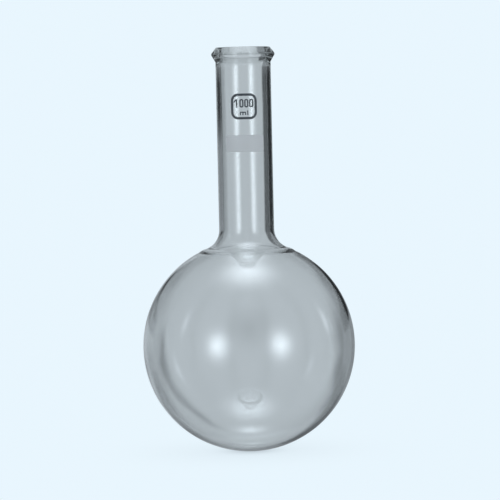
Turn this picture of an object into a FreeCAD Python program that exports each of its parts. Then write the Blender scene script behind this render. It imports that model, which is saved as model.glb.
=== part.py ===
import FreeCAD, Part

# Round bottom boiling flask, narrow neck with a beaded rim, nominal 1000 ml.
#
# Frame: millimetres, +Z up the axis of revolution, origin at the lowest point of the bulb. The prints
# face -Y. The glass is one annealed piece; its nodes are the glassblower's stages of it, which meet
# face to face: the blown bulb, the flared shoulder with its weld, the straight neck and the tooled rim.

import math
import os

# ---- overall sizes ----
BULB_OUTER_D = 131.0
OVERALL_HEIGHT = 250.0

# ---- glass walls ----
BULB_WALL = 1.7
NECK_OUTER_D = 34.0
NECK_WALL = 2.3

# ---- shoulder: the flare from neck to bulb, and the ridge left by the weld below it ----
FLARE_RADIUS = 12.4
WELD_WIDTH = 3.6
WELD_RISE = 0.35

# ---- rim: a bead with a pointed section, its edges fire polished ----
BEAD_PROUD = 2.9
BEAD_HEIGHT = 8.8
BEAD_TIP_BELOW_RIM = 4.3
LIP_INSET = 0.4
BEAD_TIP_ROUND = 1.6
LIP_ROUND = 0.9

# ---- prints fired on to the front of the neck ----
PRINT_THICKNESS = 0.08
PRINT_SIDE_MARGIN = 4.0

FRAME_WIDTH = 15.8
FRAME_LINE = 1.45
FRAME_CORNER = 4.2
FRAME_BELOW_RIM = 36.5

NUMBER = "1000"
NUMBER_HEIGHT = 5.2
NUMBER_RISE = 1.9
DIGIT_WIDTH = 2.55
DIGIT_GAP = 0.45
NUMBER_LINE = 0.85

UNIT_HEIGHT = 2.8
UNIT_DROP = 3.9
UNIT_M_WIDTH = 3.9
UNIT_GAP = 0.7
UNIT_LINE = 0.68

PANEL_WIDTH = 23.0
PANEL_HEIGHT = 10.5
PANEL_CORNER = 1.2
PANEL_BELOW_RIM = 59.2

# ---- sizes that follow ----
BULB_R = BULB_OUTER_D / 2
BULB_INNER_R = BULB_R - BULB_WALL
NECK_R = NECK_OUTER_D / 2
BORE_R = NECK_R - NECK_WALL
BEAD_SHARP_R = NECK_R + BEAD_PROUD
BEAD_FOOT_Z = OVERALL_HEIGHT - BEAD_HEIGHT
INNER_FLARE_RADIUS = FLARE_RADIUS + (NECK_WALL + BULB_WALL) / 2

QUARTER_TURN = math.pi / 2
HALF_TURN = math.pi


# ---- profiles in the XZ plane ----
def point(x, z):
    """A point of the plane that holds every profile and every print's outline."""
    return FreeCAD.Vector(x, 0, z)


def polar(centre, radius, angle):
    """The point at an angle from +Z, turning towards +X, on a circle about centre."""
    return centre + radius * point(math.sin(angle), math.cos(angle))


def arc(centre, radius, start, end):
    """The arc of a circle about centre between two angles from +Z."""
    angles = (start, (start + end) / 2, end)
    return Part.Arc(*[polar(centre, radius, a) for a in angles]).toShape()


def line(start, end):
    """A straight edge."""
    return Part.LineSegment(start, end).toShape()


def rounded_wire(corners):
    """A closed outline through corners (x, z, radius), each rounded by a tangent arc."""
    edges = []
    spans = []
    for i, (x, z, radius) in enumerate(corners):
        corner = point(x, z)
        to_last = (point(*corners[i - 1][:2]) - corner).normalize()
        to_next = (point(*corners[(i + 1) % len(corners)][:2]) - corner).normalize()
        half_angle = to_last.getAngle(to_next) / 2
        setback = radius / math.tan(half_angle)
        start, end = corner + to_last * setback, corner + to_next * setback
        if radius > 0:
            bisector = (to_last + to_next).normalize()
            middle = corner + bisector * (radius / math.sin(half_angle) - radius)
            edges.append(Part.Arc(start, middle, end).toShape())
        spans.append((start, end))
    for i, (start, _) in enumerate(spans):
        edges.append(line(spans[i - 1][1], start))
    return Part.Wire(Part.__sortEdges__(edges))


def revolved(wire):
    """The solid of revolution of a closed profile about Z."""
    return Part.Face(wire).revolve(FreeCAD.Vector(), FreeCAD.Vector(0, 0, 1), 360)


# ---- the glass ----
def flare(neck_r, bulb_r, radius):
    """The flare between a neck and a bulb of these radii: its centre, and the polar angle on the bulb
    at which it runs into the sphere."""
    out = neck_r + radius
    reach = bulb_r + radius
    centre = point(out, BULB_R + math.sqrt(reach**2 - out**2))
    return centre, math.asin(out / reach)


BULB_CENTRE = point(0, BULB_R)
OUTER_FLARE, OUTER_FLARE_ANGLE = flare(NECK_R, BULB_R, FLARE_RADIUS)
INNER_FLARE, INNER_FLARE_ANGLE = flare(BORE_R, BULB_INNER_R, INNER_FLARE_RADIUS)
WELD_ANGLE = max(OUTER_FLARE_ANGLE, INNER_FLARE_ANGLE) + WELD_WIDTH / BULB_R
NECK_FOOT_Z = max(OUTER_FLARE.z, INNER_FLARE.z)


def bulb():
    """The blown sphere, open at the top where the shoulder is welded on."""
    outer_edge = polar(BULB_CENTRE, BULB_R, WELD_ANGLE)
    inner_edge = polar(BULB_CENTRE, BULB_INNER_R, WELD_ANGLE)
    profile = [
        arc(BULB_CENTRE, BULB_R, HALF_TURN, WELD_ANGLE),
        line(outer_edge, inner_edge),
        arc(BULB_CENTRE, BULB_INNER_R, WELD_ANGLE, HALF_TURN),
        line(point(0, BULB_WALL), point(0, 0)),
    ]
    return revolved(Part.Wire(profile))


def shoulder():
    """The flare from the bulb to the neck, with the low ridge of the weld at its lower edge."""
    outer_edge = polar(BULB_CENTRE, BULB_R, WELD_ANGLE)
    inner_edge = polar(BULB_CENTRE, BULB_INNER_R, WELD_ANGLE)
    flare_edge = polar(BULB_CENTRE, BULB_R, OUTER_FLARE_ANGLE)
    crest = polar(BULB_CENTRE, BULB_R + WELD_RISE, (WELD_ANGLE + OUTER_FLARE_ANGLE) / 2)
    profile = [
        Part.Arc(outer_edge, crest, flare_edge).toShape(),
        arc(OUTER_FLARE, FLARE_RADIUS, OUTER_FLARE_ANGLE - HALF_TURN, -QUARTER_TURN),
        arc(INNER_FLARE, INNER_FLARE_RADIUS, -QUARTER_TURN, INNER_FLARE_ANGLE - HALF_TURN),
        arc(BULB_CENTRE, BULB_INNER_R, INNER_FLARE_ANGLE, WELD_ANGLE),
        line(inner_edge, outer_edge),
        line(point(NECK_R, NECK_FOOT_Z), point(BORE_R, NECK_FOOT_Z)),
    ]
    for wall_r, top in ((NECK_R, OUTER_FLARE.z), (BORE_R, INNER_FLARE.z)):
        if top < NECK_FOOT_Z:
            profile.append(line(point(wall_r, top), point(wall_r, NECK_FOOT_Z)))
    return revolved(Part.Wire(Part.__sortEdges__(profile)))


def neck():
    """The straight tube between the shoulder and the rim."""
    length = BEAD_FOOT_Z - NECK_FOOT_Z
    foot = FreeCAD.Vector(0, 0, NECK_FOOT_Z)
    return Part.makeCylinder(NECK_R, length, foot).cut(Part.makeCylinder(BORE_R, length, foot))


def rim_bead():
    """The tooled bead round the mouth. Its sharp section is rounded by the flame at tip and lip."""
    lip_r = NECK_R - LIP_INSET
    lip_round = min(LIP_ROUND, (lip_r - BORE_R) / 2)
    return revolved(
        rounded_wire(
            [
                (BORE_R, BEAD_FOOT_Z, 0),
                (NECK_R, BEAD_FOOT_Z, 0),
                (BEAD_SHARP_R, OVERALL_HEIGHT - BEAD_TIP_BELOW_RIM, BEAD_TIP_ROUND),
                (lip_r, OVERALL_HEIGHT, lip_round),
                (BORE_R, OVERALL_HEIGHT, lip_round),
            ]
        )
    )


# ---- the prints ----
def box_wire(x0, z0, x1, z1, corner=0.0):
    """The outline of an upright rectangle with rounded corners."""
    return rounded_wire([(x0, z0, corner), (x1, z0, corner), (x1, z1, corner), (x0, z1, corner)])


def ring_face(x0, z0, x1, z1, corner, line_width):
    """A rounded rectangle drawn as a line of one width."""
    w = line_width
    inner_corner = max(corner - w, 0)
    outer = Part.Face(box_wire(x0, z0, x1, z1, corner))
    return outer.cut(Part.Face(box_wire(x0 + w, z0 + w, x1 - w, z1 - w, inner_corner)))


def zero(x, z, width, height, line_width):
    """The outline of the figure 0, with its lower left corner at x, z."""
    return ring_face(x, z, x + width, z + height, width / 2 - line_width / 8, line_width)


def one(x, z, width, height, line_width):
    """The outline of the figure 1, with its lower left corner at x, z."""
    right = x + (width + line_width) / 2
    left = right - line_width
    flag = line_width * 1.4
    top = z + height
    corners = [(left, z), (right, z), (right, top), (left, top), (left - flag, top - flag)]
    corners += [(left - flag, top - 2 * flag), (left, top - flag)]
    return Part.Face(rounded_wire([(*c, 0) for c in corners]))


def letter_m(x, z, width, height, line_width):
    """The outline of a lower-case m: three legs under an arched top, its lower left corner at x, z."""
    top, inner_top = z + height, z + height - line_width
    right, middle = x + width, x + width / 2
    outer, inner = line_width, line_width / 2
    corners = [(x, z, 0), (x, top, outer), (right, top, outer), (right, z, 0)]
    slots = ((right - line_width, middle + line_width / 2), (middle - line_width / 2, x + line_width))
    for slot_right, slot_left in slots:
        corners += [(slot_right, z, 0), (slot_right, inner_top, inner)]
        corners += [(slot_left, inner_top, inner), (slot_left, z, 0)]
    return Part.Face(rounded_wire(corners))


def fired_on(faces):
    """The solids of a print: its outlines carried straight back on to the front of the neck, as thick
    as the print."""
    reach = NECK_R + PRINT_SIDE_MARGIN
    skin = Part.makeCylinder(NECK_R + PRINT_THICKNESS, OVERALL_HEIGHT)
    skin = skin.cut(Part.makeCylinder(NECK_R, OVERALL_HEIGHT))
    solids = []
    for face in faces:
        moved = face.copy()
        moved.translate(FreeCAD.Vector(0, -reach, 0))
        solids += moved.extrude(FreeCAD.Vector(0, reach, 0)).common(skin).Solids
    return Part.makeCompound(solids)


def mark_frame():
    """The rounded square round the capacity mark."""
    centre_z = OVERALL_HEIGHT - FRAME_BELOW_RIM
    half = FRAME_WIDTH / 2
    face = ring_face(-half, centre_z - half, half, centre_z + half, FRAME_CORNER, FRAME_LINE)
    return fired_on([face])


def capacity_number():
    """The nominal capacity in figures, centred across the frame."""
    figures = {"0": zero, "1": one}
    pitch = DIGIT_WIDTH + DIGIT_GAP
    left = -(len(NUMBER) * pitch - DIGIT_GAP) / 2
    z = OVERALL_HEIGHT - FRAME_BELOW_RIM + NUMBER_RISE - NUMBER_HEIGHT / 2
    faces = []
    for i, figure in enumerate(NUMBER):
        faces.append(figures[figure](left + i * pitch, z, DIGIT_WIDTH, NUMBER_HEIGHT, NUMBER_LINE))
    return fired_on(faces)


def capacity_unit():
    """The unit, ml, under the number."""
    left = -(UNIT_M_WIDTH + UNIT_GAP + UNIT_LINE) / 2
    z = OVERALL_HEIGHT - FRAME_BELOW_RIM - UNIT_DROP - UNIT_HEIGHT / 2
    x_height = UNIT_HEIGHT * 0.75
    bar_left = left + UNIT_M_WIDTH + UNIT_GAP
    bar = Part.Face(box_wire(bar_left, z, bar_left + UNIT_LINE, z + UNIT_HEIGHT))
    return fired_on([letter_m(left, z, UNIT_M_WIDTH, x_height, UNIT_LINE), bar])


def writing_panel():
    """The matt patch under the mark that takes pencil."""
    centre_z = OVERALL_HEIGHT - PANEL_BELOW_RIM
    x, z = PANEL_WIDTH / 2, PANEL_HEIGHT / 2
    return fired_on([Part.Face(box_wire(-x, centre_z - z, x, centre_z + z, PANEL_CORNER))])


NODES = {
    "bulb": bulb,
    "shoulder": shoulder,
    "neck": neck,
    "rim_bead": rim_bead,
    "mark_frame": mark_frame,
    "capacity_number": capacity_number,
    "capacity_unit": capacity_unit,
    "writing_panel": writing_panel,
}

os.makedirs("parts", exist_ok=True)
for name, make in NODES.items():
    shape = make()
    shape.exportStep(f"parts/{name}.step")
    print(f"{name}: {len(shape.Solids)} solid(s), {shape.Volume:.2f} mm3, valid {shape.isValid()}")
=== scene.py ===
"""Looks of a round bottom boiling flask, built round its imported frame.

Lengths are in metres, in the frame's axes: +Z up the flask's axis, the prints on the -Y side.
"""

import logging
import math
from dataclasses import dataclass, field, replace
from enum import Enum
from typing import Union

import bpy
from mathutils import Matrix, Vector


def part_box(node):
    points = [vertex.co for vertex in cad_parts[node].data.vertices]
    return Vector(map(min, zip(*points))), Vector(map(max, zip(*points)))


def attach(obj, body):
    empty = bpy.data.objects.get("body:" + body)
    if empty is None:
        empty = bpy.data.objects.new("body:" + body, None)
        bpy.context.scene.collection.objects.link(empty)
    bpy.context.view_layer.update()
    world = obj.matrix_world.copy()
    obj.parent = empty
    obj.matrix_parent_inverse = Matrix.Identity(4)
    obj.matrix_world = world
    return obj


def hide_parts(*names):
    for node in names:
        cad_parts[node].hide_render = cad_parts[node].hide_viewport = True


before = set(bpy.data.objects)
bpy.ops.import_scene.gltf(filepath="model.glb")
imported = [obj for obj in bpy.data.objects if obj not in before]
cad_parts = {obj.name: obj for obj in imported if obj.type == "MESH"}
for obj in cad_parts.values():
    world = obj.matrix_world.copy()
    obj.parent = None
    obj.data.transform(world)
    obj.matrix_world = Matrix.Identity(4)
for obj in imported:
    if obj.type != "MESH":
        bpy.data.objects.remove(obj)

log = logging.getLogger("flask")

Colour = tuple[float, float, float]

MM = 0.001
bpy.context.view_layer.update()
BODY = "root"
PALE: Colour = (0.812, 0.921, 0.991)
LIGHT: Colour = (0.84, 0.928, 1.0)
ROOM_LEVEL = 0.42


# ---- node trees written as expressions ----
class Sock:
    """A node's output. Arithmetic on it adds Math nodes to its tree."""

    def __init__(self, graph: "Graph", socket: bpy.types.NodeSocket) -> None:
        """Wraps one socket of a graph."""
        self.graph = graph
        self.socket = socket

    def out(self, name: str) -> "Sock":
        """Another output of the same node."""
        return Sock(self.graph, self.socket.node.outputs[name])

    def math(self, operation: str, *values: "Value") -> "Sock":
        """One Math node of an operation, with its inputs in order."""
        return self.graph.add("ShaderNodeMath", dict(enumerate(values)), operation=operation)

    def __add__(self, other: "Value") -> "Sock":
        """self + other."""
        return self.math("ADD", self, other)

    __radd__ = __add__

    def __sub__(self, other: "Value") -> "Sock":
        """self - other."""
        return self.math("SUBTRACT", self, other)

    def __rsub__(self, other: "Value") -> "Sock":
        """other - self."""
        return self.math("SUBTRACT", other, self)

    def __neg__(self) -> "Sock":
        """-self."""
        return self.math("SUBTRACT", 0.0, self)

    def __mul__(self, other: "Value") -> "Sock":
        """self * other."""
        return self.math("MULTIPLY", self, other)

    __rmul__ = __mul__

    def __truediv__(self, other: "Value") -> "Sock":
        """self / other."""
        return self.math("DIVIDE", self, other)

    def __rtruediv__(self, other: "Value") -> "Sock":
        """other / self."""
        return self.math("DIVIDE", other, self)

    def __pow__(self, other: "Value") -> "Sock":
        """self to the power of other."""
        return self.math("POWER", self, other)

    def rounded(self) -> "Sock":
        """The nearest whole number."""
        return self.math("ROUND", self)

    def cos(self) -> "Sock":
        """The cosine of an angle in radians."""
        return self.math("COSINE", self)

    def sin(self) -> "Sock":
        """The sine of an angle in radians."""
        return self.math("SINE", self)

    def exp(self) -> "Sock":
        """e to the power of self."""
        return self.math("EXPONENT", self)

    def size(self) -> "Sock":
        """The number without its sign."""
        return self.math("ABSOLUTE", self)

    def ramp(self, low: float, high: float) -> "Sock":
        """A smooth step from 0 where self is low to 1 where it is high."""
        inputs = {"Value": self, "From Min": low, "From Max": high}
        return self.graph.add("ShaderNodeMapRange", inputs, interpolation_type="SMOOTHSTEP")

    def parts(self) -> tuple["Sock", "Sock", "Sock"]:
        """The three components of a vector."""
        split = self.graph.add("ShaderNodeSeparateXYZ", {0: self})
        return split, split.out("Y"), split.out("Z")


Value = Union[Sock, float, int, tuple, str]


class Graph:
    """A node tree under construction."""

    def __init__(self, tree: bpy.types.NodeTree) -> None:
        """Empties a tree and wraps it."""
        self.tree = tree
        tree.nodes.clear()

    def feed(self, socket: bpy.types.NodeSocket, value: "Value") -> None:
        """Links a Sock into a socket, or sets the socket's own value.

        Args:
            socket: the input to feed.
            value: a Sock, or a plain value.
        """
        if isinstance(value, Sock):
            self.tree.links.new(value.socket, socket)
        else:
            socket.default_value = value

    def add(self, kind: str, inputs: dict | None = None, **settings: object) -> Sock | None:
        """One node.

        Args:
            kind: the node's type.
            inputs: a value or a Sock for each socket, by name or place.
            settings: the node's own properties, set before its sockets.

        Returns:
            the node's first output, or None where it has none.
        """
        node = self.tree.nodes.new(kind)
        for name, value in settings.items():
            setattr(node, name, value)
        for key, value in (inputs or {}).items():
            self.feed(node.inputs[key], value)
        return Sock(self, node.outputs[0]) if node.outputs else None

    def vector(self, x: "Value", y: "Value", z: "Value") -> Sock:
        """A vector from three numbers."""
        return self.add("ShaderNodeCombineXYZ", {0: x, 1: y, 2: z})

    def dot(self, a: "Value", b: "Value") -> Sock:
        """The dot product of two vectors."""
        return self.add("ShaderNodeVectorMath", {0: a, 1: b}, operation="DOT_PRODUCT").out("Value")

    def between(self, factor: "Value", start: "Value", end: "Value") -> Sock:
        """A mix of two colours.

        Args:
            factor: 0 for the first colour, 1 for the second.
            start: the first colour.
            end: the second colour.

        Returns:
            the mixed colour.
        """
        node = self.tree.nodes.new("ShaderNodeMix")
        node.data_type = "RGBA"
        colours = [s for s in node.inputs if s.type == "RGBA"]
        self.feed(node.inputs["Factor"], factor)
        self.feed(colours[0], start)
        self.feed(colours[1], end)
        return Sock(self, next(s for s in node.outputs if s.type == "RGBA"))


def new_material(name: str) -> tuple[bpy.types.Material, Graph]:
    """An empty material.

    Args:
        name: its name.

    Returns:
        the material and the graph of its nodes.
    """
    material = bpy.data.materials.new(name)
    material.use_nodes = True
    return material, Graph(material.node_tree)


def new_object(name: str, mesh: bpy.types.Mesh) -> bpy.types.Object:
    """An object of a mesh, linked into the scene at the origin.

    Args:
        name: the object's name.
        mesh: its mesh.

    Returns:
        the object.
    """
    made = bpy.data.objects.new(name, mesh)
    bpy.context.scene.collection.objects.link(made)
    return made


# ---- finishes ----
@dataclass(frozen=True)
class ClearGlass:
    """Fire-polished borosilicate glass, faintly smoky through its depth."""

    tint: Colour = (0.97, 0.975, 0.975)
    smoke: Colour = (0.25, 0.32, 0.3)
    smoke_per_metre: float = 42.0
    ior: float = 1.474
    roughness: float = 0.0

    def material(self) -> bpy.types.Material:
        """The glass as one Principled node, with a plain absorption inside.

        Returns:
            the material.
        """
        material, graph = new_material("borosilicate_glass")
        inputs = {
            "Base Color": (*self.tint, 1.0),
            "Roughness": self.roughness,
            "IOR": self.ior,
            "Transmission Weight": 1.0,
        }
        surface = graph.add("ShaderNodeBsdfPrincipled", inputs)
        depth = {"Color": (*self.smoke, 1.0), "Density": self.smoke_per_metre}
        inside = graph.add("ShaderNodeVolumeAbsorption", depth)
        graph.add("ShaderNodeOutputMaterial", {"Surface": surface, "Volume": inside})
        return material


@dataclass(frozen=True)
class FiredEnamel:
    """Dark ceramic ink fired on to the glass, a little uneven in tone."""

    thin: Colour = (0.085, 0.097, 0.11)
    thick: Colour = (0.03, 0.036, 0.043)
    thin_from: float = 0.35
    thin_to: float = 0.7
    patches_per_metre: float = 900.0
    detail: float = 3.0
    roughness: float = 0.42

    def material(self) -> bpy.types.Material:
        """The enamel, with its tone varied over the print.

        Returns:
            the material.
        """
        material, graph = new_material("fired_enamel")
        place = graph.add("ShaderNodeTexCoord").out("Object")
        pattern = {"Vector": place, "Scale": self.patches_per_metre, "Detail": self.detail}
        wear = graph.add("ShaderNodeTexNoise", pattern).ramp(self.thin_from, self.thin_to)
        tone = graph.between(wear, (*self.thick, 1.0), (*self.thin, 1.0))
        surface = graph.add("ShaderNodeBsdfPrincipled", {"Base Color": tone, "Roughness": self.roughness})
        graph.add("ShaderNodeOutputMaterial", {"Surface": surface})
        return material


@dataclass(frozen=True)
class MattEnamel:
    """A translucent matt veil that takes pencil."""

    colour: Colour = (0.79, 0.795, 0.8)
    cover: float = 0.66
    roughness: float = 0.75

    def material(self) -> bpy.types.Material:
        """The veil as one Principled node.

        Returns:
            the material.
        """
        material, graph = new_material("matt_enamel")
        inputs = {"Base Color": (*self.colour, 1.0), "Roughness": self.roughness, "Alpha": self.cover}
        surface = graph.add("ShaderNodeBsdfPrincipled", inputs)
        graph.add("ShaderNodeOutputMaterial", {"Surface": surface})
        return material


# ---- the glass ----
def reach(node: str, centre: Vector, flat: bool) -> tuple[float, float]:
    """The least and greatest distance of a node's surface from a point, or from the upright axis.

    Args:
        node: the CAD node's name.
        centre: the point.
        flat: measure in plan only, from the axis through the point.

    Returns:
        the two distances.
    """
    spans = []
    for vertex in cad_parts[node].data.vertices:
        away = vertex.co - centre
        spans.append(away.xy.length if flat else away.length)
    return min(spans), max(spans)


@dataclass(frozen=True)
class GlassSizes:
    """The sizes of the blown body, read from the frame's nodes where they hold them."""

    bulb_radius: float
    bulb_bore: float
    neck_radius: float
    neck_bore: float
    bead_foot: float
    height: float
    bead_proud: float = 2.9 * MM
    bead_tip_below_rim: float = 4.3 * MM
    bead_tip_round: float = 1.6 * MM
    bead_root_round: float = 0.35 * MM
    lip_inset: float = 0.4 * MM
    lip_round: float = 0.9 * MM
    flare_radius: float = 12.4 * MM

    @classmethod
    def from_frame(cls) -> "GlassSizes":
        """Reads the sizes from the CAD nodes' boxes and surfaces.

        Returns:
            the sizes.
        """
        bulb_low, bulb_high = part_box("bulb")
        bulb_radius = (bulb_high.x - bulb_low.x) / 2
        bulb_bore, _ = reach("bulb", Vector((0, 0, bulb_radius)), flat=False)
        neck_bore, neck_radius = reach("neck", Vector(), flat=True)
        return cls(
            bulb_radius=bulb_radius,
            bulb_bore=bulb_bore,
            neck_radius=neck_radius,
            neck_bore=neck_bore,
            bead_foot=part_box("neck")[1].z,
            height=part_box("rim_bead")[1].z,
        )

    @property
    def inner_flare_radius(self) -> float:
        """The inner wall's flare, half the two walls wider than the outer one."""
        walls = self.neck_radius - self.neck_bore + self.bulb_radius - self.bulb_bore
        return self.flare_radius + walls / 2


class Wall(Enum):
    """A face of the glass wall. The value is 1 where it looks away from the flask's inside."""

    OUTSIDE = 1
    BORE = -1


class Wander(Enum):
    """How far hand work lets each part of the wall wander: its share of the wave and of the streaks."""

    BULB = (0.25, 0.0)
    BULB_BORE = (1.0, 0.0)
    NECK = (0.1, 0.4)
    FLARE_BORE = (0.4, 0.4)
    NECK_BORE = (0.5, 1.0)
    RIM = (0.0, 0.0)


@dataclass(frozen=True)
class Ring:
    """One ring of the turned surface: where it is, and how far it may wander and the weld lifts it."""

    spot: Vector
    out: Vector
    wander: Wander
    weld: float = 0.0


@dataclass
class Profile:
    """The half section of the glass, from the bottom outside up over the lip to the bottom inside."""

    sizes: GlassSizes
    bulb_step: float = math.radians(1.6)
    flare_step: float = math.radians(3.0)
    neck_step: float = 3.0 * MM
    round_steps: int = 7
    weld_spread: float = 3.6 * MM
    weld_wave: float = 9.0 * MM
    weld_below_flare: float = 2.8 * MM
    weld_rise: float = 0.26 * MM
    weld_reach: float = 14.0 * MM
    weld_step: float = 0.5 * MM
    weld_inside: float = 0.6
    rings: list[Ring] = field(default_factory=list)

    def flare(self, neck: float, bulb: float, radius: float) -> tuple[Vector, float]:
        """The round that joins a neck to a bulb.

        Args:
            neck: the neck's radius.
            bulb: the bulb's radius.
            radius: the flare's own radius.

        Returns:
            its centre in the half section, and the polar angle on the bulb where it ends.
        """
        away = neck + radius
        span = bulb + radius
        centre = Vector((away, self.sizes.bulb_radius + math.sqrt(span**2 - away**2)))
        return centre, math.asin(away / span)

    def weld(self, distance: float) -> float:
        """How far the weld lifts the outer surface.

        Args:
            distance: how far below the flare's foot, along the surface.

        Returns:
            the lift.
        """
        along = distance - self.weld_below_flare
        fade = math.exp(-((along / self.weld_spread) ** 2))
        return self.weld_rise * fade * math.cos(math.tau * along / self.weld_wave)

    def bulb_arc(self, start: float, end: float, step: float, wall: Wall, foot: float) -> None:
        """Rings along the bulb, with the weld's ripples near its top.

        Args:
            start: the polar angle of the first ring.
            end: the polar angle of the last ring.
            step: the angle between rings.
            wall: the face they are on.
            foot: the polar angle of the outer flare's foot.
        """
        s = self.sizes
        outside = wall is Wall.OUTSIDE
        radius = s.bulb_radius if outside else s.bulb_bore
        wander = Wander.BULB if outside else Wander.BULB_BORE
        count = max(1, round(abs(end - start) / step))
        for i in range(count + 1):
            angle = start + (end - start) * i / count
            way = Vector((math.sin(angle), math.cos(angle)))
            lift = self.weld((angle - foot) * s.bulb_radius) * (1.0 if outside else self.weld_inside)
            spot = Vector((0.0, s.bulb_radius)) + way * radius
            spot.x = max(spot.x, 0.0)
            self.rings.append(Ring(spot, way * wall.value, wander, lift))

    def flare_arc(self, centre: Vector, radius: float, start: float, end: float, wall: Wall) -> None:
        """Rings along a flare, about its centre outside the glass.

        Args:
            centre: the flare's centre in the half section.
            radius: its radius.
            start: the angle from +Z where it starts.
            end: the angle where it ends.
            wall: the face it is on.
        """
        wander = Wander.NECK if wall is Wall.OUTSIDE else Wander.FLARE_BORE
        count = round(abs(end - start) / self.flare_step)
        for i in range(1, count):
            angle = start + (end - start) * i / count
            way = Vector((math.sin(angle), math.cos(angle)))
            self.rings.append(Ring(centre + way * radius, way * -wall.value, wander))

    def neck_line(self, radius: float, start: float, end: float, wall: Wall) -> None:
        """Rings up or down the straight wall of the neck.

        Args:
            radius: the wall's radius.
            start: the height of the first ring.
            end: the height of the last ring.
            wall: the face they are on.
        """
        wander = Wander.NECK if wall is Wall.OUTSIDE else Wander.NECK_BORE
        count = max(1, round(abs(end - start) / self.neck_step))
        for i in range(count + 1):
            spot = Vector((radius, start + (end - start) * i / count))
            self.rings.append(Ring(spot, Vector((wall.value, 0.0)), wander))

    def rounded_corner(self, last: Vector, corner: Vector, after: Vector, radius: float) -> None:
        """Rings round a corner of the rim, on the arc that is tangent to both its sides.

        Args:
            last: the corner before.
            corner: the sharp corner to round.
            after: the corner after.
            radius: the arc's radius.
        """
        to_last, to_next = (last - corner).normalized(), (after - corner).normalized()
        half = to_last.angle(to_next) / 2
        setback = radius / math.tan(half)
        inward = (to_last + to_next).normalized()
        centre = corner + inward * (radius / math.sin(half))
        start, end = corner + to_last * setback - centre, corner + to_next * setback - centre
        for i in range(self.round_steps + 1):
            share = i / self.round_steps
            way = (start.normalized() * (1 - share) + end.normalized() * share).normalized()
            self.rings.append(Ring(centre + way * radius, way, Wander.RIM))

    def build(self) -> list[Ring]:
        """Lays the rings in order.

        Returns:
            all the rings.
        """
        s = self.sizes
        outer, foot = self.flare(s.neck_radius, s.bulb_radius, s.flare_radius)
        inner, inner_foot = self.flare(s.neck_bore, s.bulb_bore, s.inner_flare_radius)
        fine = self.weld_step / s.bulb_radius
        weld_end = foot + self.weld_reach / s.bulb_radius
        quarter, half = math.pi / 2, math.pi
        self.bulb_arc(half, weld_end, self.bulb_step, Wall.OUTSIDE, foot)
        self.bulb_arc(weld_end - fine, foot, fine, Wall.OUTSIDE, foot)
        self.flare_arc(outer, s.flare_radius, foot - half, -quarter, Wall.OUTSIDE)
        self.neck_line(s.neck_radius, outer.y, s.bead_foot - s.bead_root_round, Wall.OUTSIDE)
        root = Vector((s.neck_radius, s.bead_foot))
        tip = Vector((s.neck_radius + s.bead_proud, s.height - s.bead_tip_below_rim))
        lip = Vector((s.neck_radius - s.lip_inset, s.height))
        mouth = Vector((s.neck_bore, s.height))
        below = Vector((s.neck_bore, s.bead_foot))
        self.rounded_corner(root, tip, lip, s.bead_tip_round)
        self.rounded_corner(tip, lip, mouth, s.lip_round)
        self.rounded_corner(lip, mouth, below, s.lip_round)
        self.neck_line(s.neck_bore, s.bead_foot, inner.y, Wall.BORE)
        self.flare_arc(inner, s.inner_flare_radius, -quarter, inner_foot - half, Wall.BORE)
        self.bulb_arc(inner_foot, weld_end, fine, Wall.BORE, foot)
        self.bulb_arc(weld_end + self.bulb_step, half, self.bulb_step, Wall.BORE, foot)
        return self.rings


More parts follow.
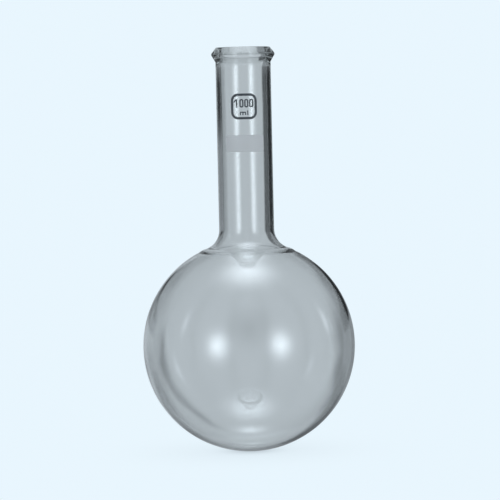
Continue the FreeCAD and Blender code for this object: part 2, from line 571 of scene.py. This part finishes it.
@dataclass
class GlassBody:
    """The whole of the glass: one closed skin, turned about the axis from its half section.

    A slow wave and fine upright streaks give the unevenness of hand work. The weld's ripple is full
    at the left and right, and weld_in_front is the share of it that is left in front and behind.
    """

    sizes: GlassSizes
    finish: ClearGlass
    around: int = 192
    wave_height: float = 0.16 * MM
    wave_length: float = 34.0 * MM
    streak_height: float = 0.01 * MM
    streak_width: float = 5.0 * MM
    streak_stretch: float = 0.06
    weld_in_front: float = 0.12
    seed: float = 4.0
    streak_seed: float = 11.0
    noise_detail: float = 1.0
    join_gap: float = 0.001 * MM

    def inputs(self) -> dict[str, float]:
        """The turning tree's numbers by the names of its inputs."""
        return {
            "Wave height": self.wave_height,
            "Wave length": self.wave_length,
            "Wave seed": self.seed,
            "Streak height": self.streak_height,
            "Streak width": self.streak_width,
            "Streak stretch": self.streak_stretch,
            "Streak seed": self.streak_seed,
            "Weld in front": self.weld_in_front,
            "Noise detail": self.noise_detail,
            "Join gap": self.join_gap,
        }

    def section(self) -> bpy.types.Mesh:
        """The half section as a row of points, with each ring's wander as vectors on them.

        Returns:
            the mesh.
        """
        rings = Profile(self.sizes).build()
        mesh = bpy.data.meshes.new("half_section")
        mesh.from_pydata([(ring.spot.x, 0.0, ring.spot.y) for ring in rings], [], [])
        shares = {
            "wave": [ring.wander.value[0] for ring in rings],
            "streak": [ring.wander.value[1] for ring in rings],
            "weld": [ring.weld for ring in rings],
        }
        for name, values in shares.items():
            ways = mesh.attributes.new(name, "FLOAT_VECTOR", "POINT")
            for i, (ring, share) in enumerate(zip(rings, values)):
                ways.data[i].vector = (ring.out.x * share, 0.0, ring.out.y * share)
        return mesh

    def new_tree(self) -> bpy.types.NodeTree:
        """An empty Geometry Nodes tree with the turning tree's inputs and output.

        Returns:
            the tree.
        """
        tree = bpy.data.node_groups.new("turned_glass", "GeometryNodeTree")
        face = tree.interface
        face.new_socket("Geometry", in_out="INPUT", socket_type="NodeSocketGeometry")
        face.new_socket("Around", in_out="INPUT", socket_type="NodeSocketInt")
        for name in self.inputs():
            face.new_socket(name, in_out="INPUT", socket_type="NodeSocketFloat")
        face.new_socket("Material", in_out="INPUT", socket_type="NodeSocketMaterial")
        face.new_socket("Geometry", in_out="OUTPUT", socket_type="NodeSocketGeometry")
        return tree

    def turning_tree(self) -> bpy.types.NodeTree:
        """The tree that turns a row of points about Z into a closed skin.

        Returns:
            the tree.
        """
        tree = self.new_tree()
        graph = Graph(tree)
        given = graph.add("NodeGroupInput")
        count = graph.add("GeometryNodeAttributeDomainSize", {"Geometry": given}, component="MESH")
        grid = {"Size X": 1.0, "Size Y": 1.0, "Vertices X": given.out("Around") + 1, "Vertices Y": count}
        sheet = graph.add("GeometryNodeMeshGrid", grid)
        across, along, _ = graph.add("GeometryNodeInputPosition").parts()
        turn = (across + 0.5) * math.tau
        row = ((along + 0.5) * (count - 1)).rounded()
        cos, sin = turn.cos(), turn.sin()

        def ring_vector(value: Sock) -> tuple[Sock, Sock]:
            """A vector of the row's point.

            Args:
                value: the vector on the section's points.

            Returns:
                its reach from the axis and its height.
            """
            inputs = {"Geometry": given, "Value": value, "Index": row}
            found = graph.add("GeometryNodeSampleIndex", inputs, data_type="FLOAT_VECTOR")
            outward, _, up = found.parts()
            return outward, up

        def attribute(name: str) -> Sock:
            """A vector attribute of the section."""
            return graph.add("GeometryNodeInputNamedAttribute", {"Name": name}, data_type="FLOAT_VECTOR")

        def noise(place: Sock, length: Sock, seed: Sock) -> Sock:
            """A noise between -1 and 1.

            Args:
                place: where it is read.
                length: the size of its features.
                seed: its seed.

            Returns:
                its value.
            """
            inputs = {"Vector": place, "W": seed, "Scale": 1 / length, "Detail": given.out("Noise detail")}
            return (graph.add("ShaderNodeTexNoise", inputs, noise_dimensions="4D") - 0.5) * 2

        radius, height = ring_vector(graph.add("GeometryNodeInputPosition"))
        x, y = radius * cos, radius * sin
        drawn = graph.vector(x, y, height * given.out("Streak stretch"))
        in_front = given.out("Weld in front")
        wave = noise(graph.vector(x, y, height), given.out("Wave length"), given.out("Wave seed"))
        streak = noise(drawn, given.out("Streak width"), given.out("Streak seed"))
        sizes = {
            "wave": wave * given.out("Wave height"),
            "streak": streak * given.out("Streak height"),
            "weld": in_front + cos * cos * (1 - in_front),
        }
        for name, size in sizes.items():
            outward, up = ring_vector(attribute(name))
            radius, height = radius + outward * size, height + up * size
        place = graph.vector(radius * cos, radius * sin, height)
        skin = graph.add("GeometryNodeSetPosition", {"Geometry": sheet, "Position": place})
        join = {"Geometry": skin, "Distance": given.out("Join gap")}
        skin = graph.add("GeometryNodeMergeByDistance", join)
        skin = graph.add("GeometryNodeSetShadeSmooth", {"Geometry": skin})
        skin = graph.add("GeometryNodeRealizeInstances", {"Geometry": skin})
        dress = {"Geometry": skin, "Material": given.out("Material")}
        skin = graph.add("GeometryNodeSetMaterial", dress)
        graph.add("NodeGroupOutput", {"Geometry": skin})
        return tree

    def build(self) -> bpy.types.Object:
        """The glass as a plain mesh, standing for the CAD sections.

        Returns:
            the piece.
        """
        start = new_object("section", self.section())
        tree = self.turning_tree()
        turned = start.modifiers.new("turned", "NODES")
        turned.node_group = tree
        values = {"Around": self.around, "Material": self.finish.material(), **self.inputs()}
        for socket in tree.interface.items_tree:
            if socket.in_out == "INPUT" and socket.name in values:
                turned[socket.identifier] = values[socket.name]
        ready = start.evaluated_get(bpy.context.evaluated_depsgraph_get())
        mesh = bpy.data.meshes.new_from_object(ready)
        bpy.data.objects.remove(start)
        if signed_volume(mesh) < 0:
            mesh.flip_normals()
        glass = new_object("glass_body", mesh)
        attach(glass, BODY)
        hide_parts("bulb", "shoulder", "neck", "rim_bead")
        return glass


def signed_volume(mesh: bpy.types.Mesh) -> float:
    """The volume inside a closed mesh.

    Args:
        mesh: the mesh.

    Returns:
        its volume, below zero where its faces point inwards.
    """
    mesh.calc_loop_triangles()
    corners = ([mesh.vertices[v].co for v in triangle.vertices] for triangle in mesh.loop_triangles)
    return sum(a.dot(b.cross(c)) for a, b, c in corners) / 6


# ---- the prints ----
@dataclass
class Prints:
    """The mark and the writing patch: the frame's own thin solids, in their fired finishes."""

    enamel: FiredEnamel
    veil: MattEnamel
    mark_nodes: tuple[str, ...] = ("mark_frame", "capacity_number", "capacity_unit")
    patch_node: str = "writing_panel"

    def build(self) -> list[bpy.types.Object]:
        """Dresses the printed nodes.

        Returns:
            the nodes.
        """
        enamel, veil = self.enamel.material(), self.veil.material()
        finishes = {name: enamel for name in self.mark_nodes} | {self.patch_node: veil}
        for name, material in finishes.items():
            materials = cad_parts[name].data.materials
            materials.clear()
            materials.append(material)
        return [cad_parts[name] for name in finishes]


# ---- the studio ----
def panel(
    name: str,
    corners: list[tuple[float, float, float]],
    material: bpy.types.Material,
) -> bpy.types.Object:
    """A flat four-cornered piece of the stage.

    Args:
        name: its name.
        corners: its corners in order.
        material: its material.

    Returns:
        the piece, which is no part of the flask.
    """
    mesh = bpy.data.meshes.new(name)
    mesh.from_pydata(corners, [], [(0, 1, 2, 3)])
    mesh.materials.append(material)
    made = new_object(name, mesh)
    return made


class Side(Enum):
    """Which side of the flask a light stands on."""

    LEFT = -1
    RIGHT = 1


@dataclass(frozen=True)
class Glow:
    """A soft light or dark in the surroundings: its place and half sizes in degrees.

    Azimuth 0 is the camera's side, and 90 the flask's right.
    """

    azimuth: float
    elevation: float
    half_width: float
    half_height: float
    strength: float
    fade: float = 0.1

    def on(self, side: Side) -> "Glow":
        """The same light on a side of the flask."""
        return replace(self, azimuth=self.azimuth * side.value)

    def at(self, graph: Graph, direction: Sock) -> Sock:
        """The light that comes from a direction.

        Args:
            graph: the surroundings' nodes.
            direction: the direction looked in.

        Returns:
            its brightness, which falls off softly from the middle.
        """
        a, e = math.radians(self.azimuth), math.radians(self.elevation)
        ahead = Vector((math.sin(a) * math.cos(e), -math.cos(a) * math.cos(e), math.sin(e)))
        side = Vector((math.cos(a), math.sin(a), 0.0))
        across, along, facing = (graph.dot(direction, way) for way in (side, ahead.cross(side), ahead))
        wide, high = math.sin(math.radians(self.half_width)), math.sin(math.radians(self.half_height))
        soft = (-((across / wide) ** 2) - (along / high) ** 2).exp()
        return soft * self.strength * facing.ramp(0.0, self.fade)


@dataclass(frozen=True)
class Surroundings:
    """What the camera sees behind the flask, and the lit room that the glass sees."""

    window: Glow = Glow(35.2, 4.0, 11.0, 12.5, 4.2)
    posts: tuple[Glow, ...] = (Glow(20.0, 0.0, 6.0, 60.0, -0.28), Glow(68.0, 0.0, 6.0, 60.0, -0.28))
    high_behind: Glow = Glow(0.0, 119.0, 8.0, 8.0, 4.2)
    left_strip: Glow = Glow(-80.0, 21.0, 3.0, 9.0, 1.6)
    right_strip: Glow = Glow(98.0, 17.0, 3.5, 9.0, 1.9)
    left_wing: Glow = Glow(-112.0, -11.0, 14.0, 18.0, -0.37)
    right_wing: Glow = Glow(123.0, -14.0, 13.0, 24.0, -0.37)

    def glows(self) -> list[Glow]:
        """All the lights, and the darks, whose strength is below zero.

        Returns:
            them.
        """
        pairs = [glow.on(side) for glow in (self.window, *self.posts) for side in Side]
        strips = [self.high_behind, self.left_strip, self.right_strip]
        return [*pairs, *strips, self.left_wing, self.right_wing]

    def build(self) -> bpy.types.World:
        """The world, pale where the camera looks straight at it.

        Returns:
            the world.
        """
        world = bpy.data.worlds.new("studio")
        world.use_nodes = True
        graph = Graph(world.node_tree)
        direction = graph.add("ShaderNodeTexCoord").out("Generated")
        level = ROOM_LEVEL
        for glow in self.glows():
            level = level + glow.at(graph, direction)
        room = graph.add("ShaderNodeBackground", {"Color": (*LIGHT, 1.0), "Strength": level})
        pale = graph.add("ShaderNodeBackground", {"Color": (*PALE, 1.0)})
        camera = graph.add("ShaderNodeLightPath").out("Is Camera Ray")
        sky = graph.add("ShaderNodeMixShader", {0: camera, 1: room, 2: pale})
        graph.add("ShaderNodeOutputWorld", {"Surface": sky})
        bpy.context.scene.world = world
        return world


@dataclass(frozen=True)
class BackSheet:
    """A lit sheet behind the flask that only the glass sees, with dark flags on it.

    left, right, low and left_corner are the light that a flag leaves, and so are the two by the
    neck. A core, a depth and the mottle are the light that they take. A band is where a flag fades.
    """

    level: float = 0.66
    distance: float = 0.59
    half_width: float = 0.9
    bottom: float = -0.5
    top: float = 0.8
    fade: float = 0.15
    bright_half: float = 0.1
    edge: float = 0.016
    left: float = 0.9
    left_by_neck: float = 0.74
    right: float = 0.5
    right_by_neck: float = 0.13
    neck_band: tuple[float, float] = (0.1, 0.25)
    rim_band: tuple[float, float] = (0.17, 0.21)
    core_from: float = 0.2
    left_core_by_neck: float = 0.42
    left_core_by_rim: float = 0.5
    right_core: float = 0.7
    low: float = 0.52
    low_band: tuple[float, float] = (0.11, 0.2)
    left_corner: float = 0.6
    corner_from: float = 0.42
    corner_band: tuple[float, float] = (-0.06, 0.06)
    hoop_radius: float = 0.101
    hoop_height: float = 0.014
    hoop_width: float = 0.008
    hoop_depth: float = 0.36
    hoop_side: tuple[float, float] = (0.02, 0.06)
    hoop_top: tuple[float, float] = (-0.03, 0.0)
    dim_radius: float = 0.017
    dim_height: float = 0.029
    dim_depth: float = 0.17
    mottle: float = 0.1
    mottle_scale: float = 9.0
    mottle_detail: float = 3.0

    def flags(self, x: Sock, z: Sock) -> Sock:
        """The dark flags: one on each side, darker at the neck's height, one low and one low on the left.

        Args:
            x: the place across the sheet.
            z: the height.

        Returns:
            the share of light that they leave.
        """
        inner, outer = self.bright_half - self.edge, self.bright_half + self.edge
        low, high = self.neck_band
        band = z.ramp(low - self.edge, low + self.edge) * (1 - z.ramp(high - self.edge, high + self.edge))
        right = 1 - self.right + band * (self.right - self.right_by_neck)
        left = 1 - self.left + band * (self.left - self.left_by_neck)
        left_core = band * self.left_core_by_neck + z.ramp(*self.rim_band) * self.left_core_by_rim
        left_core = (-x).ramp(self.core_from, self.core_from + self.edge) * left_core
        right_core = x.ramp(self.core_from, self.core_from + self.edge) * band * self.right_core
        sides = (1 - x.ramp(inner, outer) * right) * (1 - (-x).ramp(inner, outer) * left)
        low_flag = 1 - (-z).ramp(*self.low_band) * (1 - self.low)
        corner = (-x).ramp(self.corner_from, self.corner_from + self.edge) * (-z).ramp(*self.corner_band)
        corner = 1 - corner * (1 - self.left_corner)
        return sides * (1 - left_core) * (1 - right_core) * low_flag * corner

    def marks(self, x: Sock, z: Sock) -> Sock:
        """A dark hoop low on the left and a dim spot in the middle.

        Args:
            x: the place across the sheet.
            z: the height.

        Returns:
            the share of light that they leave.
        """
        below = self.hoop_height - z
        away = (x * x + below * below) ** 0.5
        hoop = (-(((away - self.hoop_radius) / self.hoop_width) ** 2)).exp() * self.hoop_depth
        hoop = hoop * (-x).ramp(*self.hoop_side) * below.ramp(*self.hoop_top)
        rise = z - self.dim_height
        dim = ((x * x + rise * rise) / -(self.dim_radius**2)).exp() * self.dim_depth
        return (1 - hoop) * (1 - dim)

    def inside(self, x: Sock, z: Sock) -> Sock:
        """Where the sheet hasn't yet faded into the room.

        Args:
            x: the place across the sheet.
            z: the height.

        Returns:
            1 well inside the borders and 0 at them.
        """
        sides = 1 - x.size().ramp(self.half_width - self.fade, self.half_width)
        above = 1 - z.ramp(self.top - self.fade, self.top)
        return sides * above * z.ramp(self.bottom, self.bottom + self.fade)

    def material(self) -> bpy.types.Material:
        """The sheet's light, which fades to the room's at its borders.

        Returns:
            the material.
        """
        material, graph = new_material("back_sheet")
        place = graph.add("ShaderNodeTexCoord").out("Object")
        x, _, z = place.parts()
        pattern = {"Vector": place, "Scale": self.mottle_scale, "Detail": self.mottle_detail}
        noise = graph.add("ShaderNodeTexNoise", pattern)
        inside = self.inside(x, z)
        level = self.flags(x, z) * self.marks(x, z) * (1 + (noise - 0.5) * self.mottle) * self.level
        level = level * inside + (1 - inside) * ROOM_LEVEL
        light = graph.add("ShaderNodeEmission", {"Color": (*LIGHT, 1.0), "Strength": level})
        graph.add("ShaderNodeOutputMaterial", {"Surface": light})
        return material

    def build(self) -> bpy.types.Object:
        """Hangs the sheet, unseen by the camera.

        Returns:
            the sheet.
        """
        half, far = self.half_width, self.distance
        corners = [(-half, self.bottom), (half, self.bottom), (half, self.top), (-half, self.top)]
        sheet = panel("back_sheet", [(x, far, z) for x, z in corners], self.material())
        sheet.visible_camera = False
        return sheet


@dataclass(frozen=True)
class Overhead:
    """A soft lamp close above the flask that only the glass sees."""

    height: float = 0.55
    forward: float = 0.035
    half_size: float = 0.32
    wide: float = 0.15
    deep: float = 0.14
    level: float = 5.4

    def material(self) -> bpy.types.Material:
        """The lamp's light, brightest in the middle and clear at the borders.

        Returns:
            the material.
        """
        material, graph = new_material("overhead")
        x, y, _ = graph.add("ShaderNodeTexCoord").out("Object").parts()
        across, along = x / self.wide, (y + self.forward) / self.deep
        level = (-(across * across) - along * along).exp() * self.level
        glow = graph.add("ShaderNodeEmission", {"Color": (*LIGHT, 1.0), "Strength": level})
        clear = graph.add("ShaderNodeBsdfTransparent")
        surface = graph.add("ShaderNodeAddShader", {0: glow, 1: clear})
        graph.add("ShaderNodeOutputMaterial", {"Surface": surface})
        return material

    def build(self) -> bpy.types.Object:
        """Hangs the lamp, unseen by the camera.

        Returns:
            the lamp.
        """
        half = self.half_size
        corners = [(-half, -half), (-half, half), (half, half), (half, -half)]
        places = [(x, y - self.forward, self.height) for x, y in corners]
        lamp = panel("overhead", places, self.material())
        lamp.visible_camera = False
        return lamp


@dataclass(frozen=True)
class Floor:
    """A pale floor that meets the surroundings without a line, with a soft shadow painted round the
    flask's foot.
    """

    # the painted shadow's colour, and the reach and depth of its tight and wide rings
    shadow: Colour = (0.42, 0.48, 0.53)
    half_size: float = 3.0
    contact_reach: float = 0.014
    contact_depth: float = 0.6
    shadow_reach: float = 0.05
    shadow_depth: float = 0.16

    def material(self) -> bpy.types.Material:
        """The floor as the camera sees it, with the shadow round the foot painted into its light. The
        glass looks through it.

        Returns:
            the material.
        """
        material, graph = new_material("pale_floor")
        x, y, _ = graph.add("ShaderNodeTexCoord").out("Object").parts()
        away = x * x + y * y
        # painted shadow: the floor's light darkens towards the flask's foot, in a tight ring and a wide
        # one
        contact = (away / -(self.contact_reach**2)).exp() * self.contact_depth
        wide = (away / -(self.shadow_reach**2)).exp() * self.shadow_depth
        colour = graph.between(contact + wide, (*PALE, 1.0), (*self.shadow, 1.0))
        light = graph.add("ShaderNodeEmission", {"Color": colour})
        clear = graph.add("ShaderNodeBsdfTransparent")
        camera = graph.add("ShaderNodeLightPath").out("Is Camera Ray")
        surface = graph.add("ShaderNodeMixShader", {0: camera, 1: clear, 2: light})
        graph.add("ShaderNodeOutputMaterial", {"Surface": surface})
        return material

    def build(self) -> bpy.types.Object:
        """Lays the floor, level with the flask's foot.

        Returns:
            the floor.
        """
        half = self.half_size
        corners = [(-half, -half, 0.0), (half, -half, 0.0), (half, half, 0.0), (-half, half, 0.0)]
        return panel("pale_floor", corners, self.material())


@dataclass(frozen=True)
class Camera:
    """A long lens, nearly level with the middle of the flask, and rolled a little."""

    distance: float = 1.7
    elevation: float = 3.0
    roll: float = -1.25
    aim: Vector = Vector((1.8 * MM, 0.0, 124.7 * MM))
    view_width: float = 309.35 * MM
    sensor: float = 36.0
    sees_to: float = 100.0

    def build(self) -> bpy.types.Object:
        """Sets the camera up as the scene's own.

        Returns:
            the camera.
        """
        data = bpy.data.cameras.new("camera")
        data.sensor_width = self.sensor
        data.lens = self.sensor * self.distance / self.view_width
        data.clip_end = self.sees_to
        camera = bpy.data.objects.new("camera", data)
        bpy.context.scene.collection.objects.link(camera)
        e = math.radians(self.elevation)
        back = Vector((0.0, -math.cos(e), math.sin(e)))
        look = (-back).to_track_quat("-Z", "Y").to_matrix().to_4x4()
        roll = Matrix.Rotation(math.radians(self.roll), 4, "Z")
        camera.matrix_world = Matrix.Translation(self.aim + back * self.distance) @ look @ roll
        bpy.context.scene.camera = camera
        return camera


@dataclass(frozen=True)
class Studio:
    """The camera, the floor and the light."""

    camera: Camera = Camera()
    surroundings: Surroundings = Surroundings()
    back_sheet: BackSheet = BackSheet()
    overhead: Overhead = Overhead()
    floor: Floor = Floor()

    def build(self) -> None:
        """Sets the stage."""
        for part in (self.camera, self.surroundings, self.back_sheet, self.overhead, self.floor):
            part.build()
        bpy.context.scene.view_settings.view_transform = "Standard"


def main() -> None:
    """Builds the stage and the flask, and reports each piece."""
    logging.basicConfig(level=logging.INFO, format="%(name)s: %(message)s")
    Studio().build()
    glass = GlassBody(GlassSizes.from_frame(), ClearGlass()).build()
    prints = Prints(FiredEnamel(), MattEnamel()).build()
    for piece in (glass, *prints):
        log.info("%s: %d faces", piece.name, len(piece.data.polygons))


if __name__ == "__main__":
    main()
